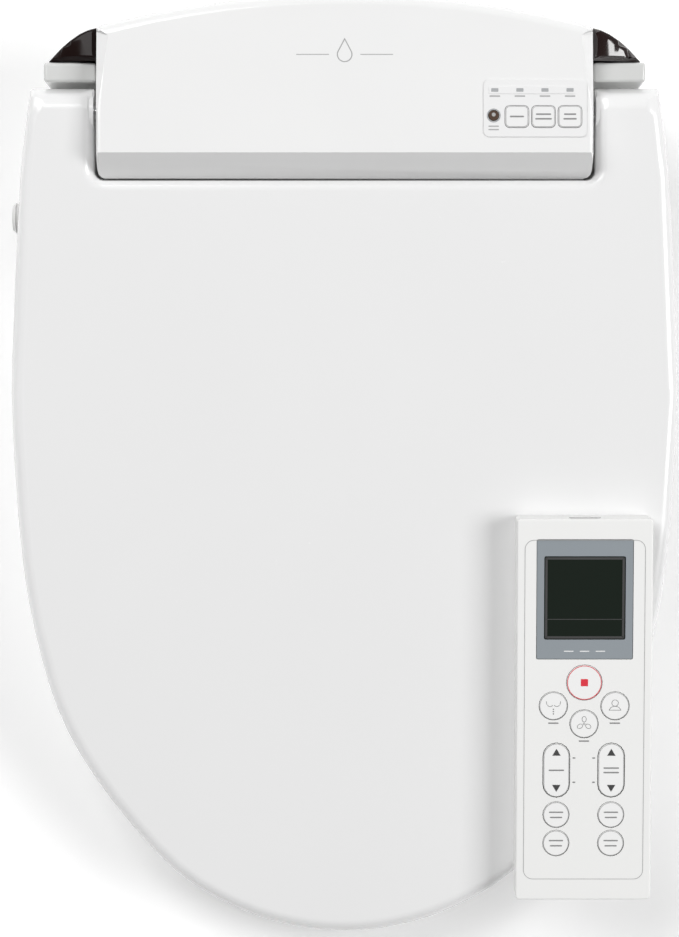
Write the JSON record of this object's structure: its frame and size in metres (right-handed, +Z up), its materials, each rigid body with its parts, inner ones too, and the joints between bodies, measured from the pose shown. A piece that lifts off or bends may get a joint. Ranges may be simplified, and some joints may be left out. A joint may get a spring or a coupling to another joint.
{
  "type": "electric bidet seat",
  "caption": "Electric bidet toilet seat with hinged seat and lid, rear housing, spray nozzles, air dryer and a remote control lying on the lid.",
  "frame": {"origin": "midway between the two bolt slots, on the underside of the mounting plate, which is the plane of the bowl's rim", "axes": "+Z up, -Y towards the front of the seat, +X to the right seen from above with the front towards the viewer's feet"},
  "size_m": [0.3863, 0.5357, 0.1186],
  "materials": {
    "white_gloss": "polished white polypropylene",
    "lid_white": "polished white, faint orange peel",
    "seat_white": "polished white",
    "panel_film": "satin printed film",
    "key_white": "satin",
    "fitting_white": "moulded, satin",
    "smoked_lens": "smoked translucent brown",
    "sensor_window": "dark window",
    "lamp_grey": "frosted grey",
    "bezel_grey": "satin grey",
    "display_dark": "dark display under a clear window",
    "rubber": "soft pale rubber",
    "steel": "satin",
    "dark_plastic": "satin",
    "grey_plastic": "satin",
    "board_green": "solder mask"
  },
  "bodies": {
    "base": {"base_chassis": "white_gloss", "top_cover": "white_gloss", "panel_overlay": "panel_film", "indicator_lamps": "lamp_grey", "light_sensor": "sensor_window", "corner_lens_left": "smoked_lens", "corner_lens_right": "smoked_lens", "control_board": "board_green", "hinge_pin_left": "steel", "hinge_pin_right": "steel", "soft_close_damper_left": "dark_plastic", "soft_close_damper_right": "dark_plastic", "water_inlet": "fitting_white", "inlet_valve": "dark_plastic", "heater_tank": "steel", "pump": "dark_plastic", "cord_gland": "dark_plastic", "rear_nozzle_motor": "steel", "front_nozzle_motor": "steel", "dryer_fan_casing": "dark_plastic", "dryer_duct": "dark_plastic"},
    "seat": {"seat_upper_shell": "seat_white", "seat_lower_shell": "seat_white", "seat_heater": "steel", "seat_bumper_rear_left": "rubber", "seat_bumper_rear_right": "rubber", "seat_bumper_front_left": "rubber", "seat_bumper_front_right": "rubber"},
    "lid": {"lid_shell": "lid_white", "lid_bumper_left": "rubber", "lid_bumper_right": "rubber"},
    "button_light": {"panel_button_light": "white_gloss"},
    "button_saver": {"panel_button_saver": "white_gloss"},
    "button_stop": {"panel_button_stop": "white_gloss"},
    "rear_wand": {"rear_nozzle": "steel"},
    "front_wand": {"front_nozzle": "steel"},
    "rear_gear": {"rear_pinion": "fitting_white"},
    "front_gear": {"front_pinion": "fitting_white"},
    "fan": {"dryer_impeller": "grey_plastic"},
    "air_flap": {"dryer_flap": "fitting_white"},
    "bowl_plate": {"mounting_plate": "fitting_white"},
    "release": {"release_button": "grey_plastic"},
    "remote": {"remote_front_shell": "white_gloss", "remote_back_shell": "white_gloss", "remote_bezel": "bezel_grey", "remote_display": "display_dark", "remote_board": "board_green", "battery_cell_left": "steel", "battery_cell_right": "steel"},
    "cell_cover": {"battery_cover": "white_gloss"},
    "key_stop": {"key_stop": "key_white"},
    "key_rear_wash": {"key_rear_wash": "key_white"},
    "key_front_wash": {"key_front_wash": "key_white"},
    "key_dry": {"key_dry": "key_white"},
    "key_wash_dry": {"key_wash_dry": "key_white"},
    "key_seat_temp": {"key_seat_temp": "key_white"},
    "key_easy_wash": {"key_easy_wash": "key_white"},
    "key_water_temp": {"key_water_temp": "key_white"},
    "rocker_nozzle": {"rocker_nozzle": "key_white"},
    "rocker_water_dry": {"rocker_water_dry": "key_white"}
  },
  "joints": [
    {"name": "seat_hinge", "type": "hinge", "parent": "base", "child": "seat", "pos_m": [0, 0, 0.092], "axis": [-1, 0, 0], "range_deg": [0, 90]},
    {"name": "lid_hinge", "type": "hinge", "parent": "seat", "child": "lid", "pos_m": [0, 0, 0.092], "axis": [1, 0, 0], "range_deg": [-92, 0]},
    {"name": "button_light_press", "type": "slide", "parent": "base", "child": "button_light", "axis": [0, 0, -1], "range_m": [0, 0.0008], "stiffness_N_per_m": 1500},
    {"name": "button_saver_press", "type": "slide", "parent": "base", "child": "button_saver", "axis": [0, 0, -1], "range_m": [0, 0.0008], "stiffness_N_per_m": 1500},
    {"name": "button_stop_press", "type": "slide", "parent": "base", "child": "button_stop", "axis": [0, 0, -1], "range_m": [0, 0.0008], "stiffness_N_per_m": 1500},
    {"name": "rear_wand_slide", "type": "slide", "parent": "base", "child": "rear_wand", "axis": [0, -0.9659, -0.2588], "range_m": [0, 0.085]},
    {"name": "front_wand_slide", "type": "slide", "parent": "base", "child": "front_wand", "axis": [0, -0.9659, -0.2588], "range_m": [0, 0.085]},
    {"name": "rear_gear_turn", "type": "hinge", "parent": "base", "child": "rear_gear", "pos_m": [-0.0085, -0.0134, 0.04531], "axis": [1, 0, 0], "range_deg": [-800, 0]},
    {"name": "front_gear_turn", "type": "hinge", "parent": "base", "child": "front_gear", "pos_m": [0.0085, -0.0134, 0.04531], "axis": [1, 0, 0], "range_deg": [-800, 0]},
    {"name": "fan_spin", "type": "hinge", "parent": "base", "child": "fan", "pos_m": [0.088, 0.004, 0.026], "axis": [0, 0, 1], "continuous": true},
    {"name": "air_flap_swing", "type": "hinge", "parent": "base", "child": "air_flap", "pos_m": [0.04, -0.0746, 0.0294], "axis": [-1, 0, 0], "range_deg": [0, 60], "stiffness_Nm_per_rad": 0.05},
    {"name": "plate_slide", "type": "slide", "parent": "base", "child": "bowl_plate", "axis": [0, 1, 0], "range_m": [0, 0.03]},
    {"name": "release_press", "type": "slide", "parent": "base", "child": "release", "axis": [-1, 0, 0], "range_m": [0, 0.003], "stiffness_N_per_m": 1500},
    {"name": "remote_lift", "type": "slide", "parent": "lid", "child": "remote", "axis": [0, -0.092, 0.9958], "range_m": [0, 0.06]},
    {"name": "cell_cover_slide", "type": "slide", "parent": "remote", "child": "cell_cover", "axis": [0, -0.9958, -0.092], "range_m": [0, 0.05]},
    {"name": "key_stop_press", "type": "slide", "parent": "remote", "child": "key_stop", "axis": [0, 0.092, -0.9958], "range_m": [0, 0.0006], "stiffness_N_per_m": 1200},
    {"name": "key_rear_wash_press", "type": "slide", "parent": "remote", "child": "key_rear_wash", "axis": [0, 0.092, -0.9958], "range_m": [0, 0.0006], "stiffness_N_per_m": 1200},
    {"name": "key_front_wash_press", "type": "slide", "parent": "remote", "child": "key_front_wash", "axis": [0, 0.092, -0.9958], "range_m": [0, 0.0006], "stiffness_N_per_m": 1200},
    {"name": "key_dry_press", "type": "slide", "parent": "remote", "child": "key_dry", "axis": [0, 0.092, -0.9958], "range_m": [0, 0.0006], "stiffness_N_per_m": 1200},
    {"name": "key_wash_dry_press", "type": "slide", "parent": "remote", "child": "key_wash_dry", "axis": [0, 0.092, -0.9958], "range_m": [0, 0.0006], "stiffness_N_per_m": 1200},
    {"name": "key_seat_temp_press", "type": "slide", "parent": "remote", "child": "key_seat_temp", "axis": [0, 0.092, -0.9958], "range_m": [0, 0.0006], "stiffness_N_per_m": 1200},
    {"name": "key_easy_wash_press", "type": "slide", "parent": "remote", "child": "key_easy_wash", "axis": [0, 0.092, -0.9958], "range_m": [0, 0.0006], "stiffness_N_per_m": 1200},
    {"name": "key_water_temp_press", "type": "slide", "parent": "remote", "child": "key_water_temp", "axis": [0, 0.092, -0.9958], "range_m": [0, 0.0006], "stiffness_N_per_m": 1200},
    {"name": "rocker_nozzle_tilt", "type": "hinge", "parent": "remote", "child": "rocker_nozzle", "pos_m": [0.1205, -0.37397, 0.08894], "axis": [1, 0, 0], "range_deg": [-2, 2], "stiffness_Nm_per_rad": 0.5},
    {"name": "rocker_water_dry_tilt", "type": "hinge", "parent": "remote", "child": "rocker_water_dry", "pos_m": [0.1517, -0.37397, 0.08894], "axis": [1, 0, 0], "range_deg": [-2, 2], "stiffness_Nm_per_rad": 0.5}
  ],
  "couplings": [
    {"joint": "rear_gear_turn", "follows": "rear_wand_slide", "rad_per_m": -161.29},
    {"joint": "front_gear_turn", "follows": "front_wand_slide", "rad_per_m": -161.29}
  ]
}
